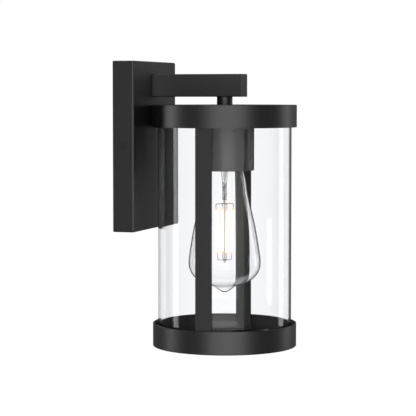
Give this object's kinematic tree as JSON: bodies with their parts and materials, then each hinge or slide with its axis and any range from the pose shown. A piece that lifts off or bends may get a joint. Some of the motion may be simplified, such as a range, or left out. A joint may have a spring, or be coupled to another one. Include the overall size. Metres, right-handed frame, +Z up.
{
  "type": "outdoor wall lantern",
  "caption": "Outdoor wall lantern: black backplate and square arm carry a round cap, flat straps, a clear glass cylinder, an open base ring and a screw-in filament lamp.",
  "frame": {"origin": "centre of the backplate's rear plane, on the wall", "axes": "+Z up, +Y into the wall, +X to the right for someone who faces the wall; the lantern stands out along -Y"},
  "size_m": [0.127, 0.1476, 0.251],
  "materials": {
    "black_powder_coat": "satin black powder coat",
    "black_screws": "black coated steel",
    "clear_glass": "clear, smooth",
    "silicone": "matt black silicone",
    "foam": "closed-cell foam",
    "zinc_steel": "zinc plated",
    "green_screw": "green passivated",
    "brass": "plain brass",
    "socket_shell_metal": "nickel plated brass",
    "porcelain": "glazed white porcelain",
    "terminal_plastic": "moulded nylon",
    "black_insulation": "PVC insulation",
    "white_insulation": "PVC insulation",
    "green_insulation": "PVC insulation",
    "lamp_glass": "clear blown glass",
    "stem_glass": "clear pressed glass",
    "lamp_base_metal": "rolled thread, nickel look",
    "lamp_insulator": "black base glass",
    "solder": "solder tinned",
    "frame_wire": "drawn wire",
    "filament_phosphor": "phosphor coated LED strip"
  },
  "bodies": {
    "lantern": {"backplate": "black_powder_coat", "arm_tube": "black_powder_coat", "arm_end_plate": "black_powder_coat", "stem_spacer": "black_powder_coat", "top_cap": "black_powder_coat", "bottom_ring": "black_powder_coat", "strap_left": "black_powder_coat", "strap_right": "black_powder_coat", "socket_cup": "black_powder_coat", "side_screws": "black_screws", "strap_top_screws": "black_screws", "strap_bottom_screws": "black_screws", "glass_cylinder": "clear_glass", "glass_gasket_top": "silicone", "glass_gasket_bottom": "silicone", "wall_gasket": "foam", "wall_bracket": "zinc_steel", "arm_root_block": "black_powder_coat", "arm_screws": "zinc_steel", "threaded_nipple": "zinc_steel", "nipple_nuts": "zinc_steel", "nipple_washers": "zinc_steel", "socket_bracket": "zinc_steel", "socket_screws": "zinc_steel", "terminal_mount_screws": "zinc_steel", "ground_screw": "green_screw", "socket_contact": "brass", "terminal_screws": "brass", "ground_lug": "brass", "socket_screw_shell": "socket_shell_metal", "socket_body": "porcelain", "terminal_block": "terminal_plastic", "wire_live": "black_insulation", "wire_neutral": "white_insulation", "wire_ground": "green_insulation"},
    "lamp_lead": {"bulb_contact": "solder"},
    "lamp": {"bulb_insulator": "lamp_insulator", "bulb_base_shell": "lamp_base_metal", "bulb_glass": "lamp_glass", "bulb_stem": "stem_glass", "lead_wires": "frame_wire", "filament_frame": "frame_wire", "led_filaments": "filament_phosphor"}
  },
  "joints": [
    {"name": "bulb_drop", "type": "slide", "parent": "lantern", "child": "lamp_lead", "axis": [0, 0, -1], "range_m": [0, 0.01271]},
    {"name": "bulb_turn", "type": "hinge", "parent": "lamp_lead", "child": "lamp", "pos_m": [0, -0.0841, 0], "axis": [0, 0, -1], "range_deg": [0, 1260]}
  ],
  "couplings": [
    {"joint": "bulb_drop", "follows": "bulb_turn", "m_per_rad": 0.00057757}
  ]
}
